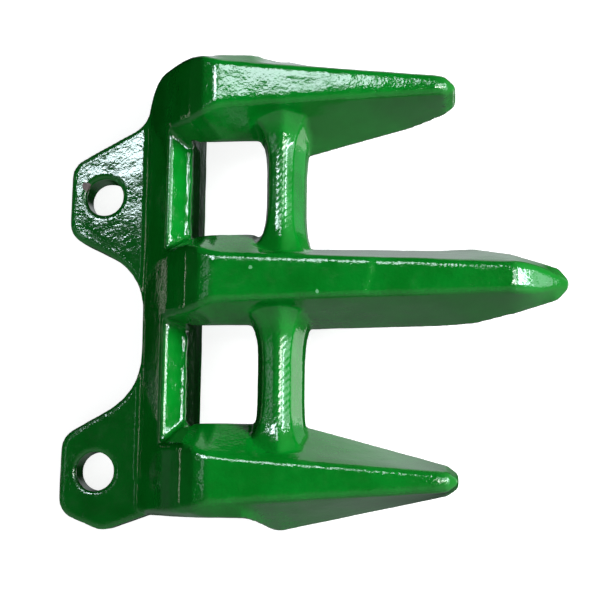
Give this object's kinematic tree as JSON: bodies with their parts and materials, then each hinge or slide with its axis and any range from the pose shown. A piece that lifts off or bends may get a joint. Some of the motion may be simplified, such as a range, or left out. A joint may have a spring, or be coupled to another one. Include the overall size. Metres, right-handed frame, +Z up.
{
  "type": "mower knife guard",
  "caption": "Forged mower knife guard: tapered fingers on a rear beam with cross bars, open windows, a groove for the knife back and bolt ears.",
  "frame": {"origin": "on the mounting face, midway between the two bolt holes", "axes": "+X along the fingers to their points, +Y along the cutter bar, +Z up out of the belly, square to the mounting face"},
  "size_m": [0.1361, 0.1281, 0.0335],
  "materials": {
    "enamel": "gloss"
  },
  "bodies": {
    "root": {"guard": "enamel"}
  },
  "joints": []
}
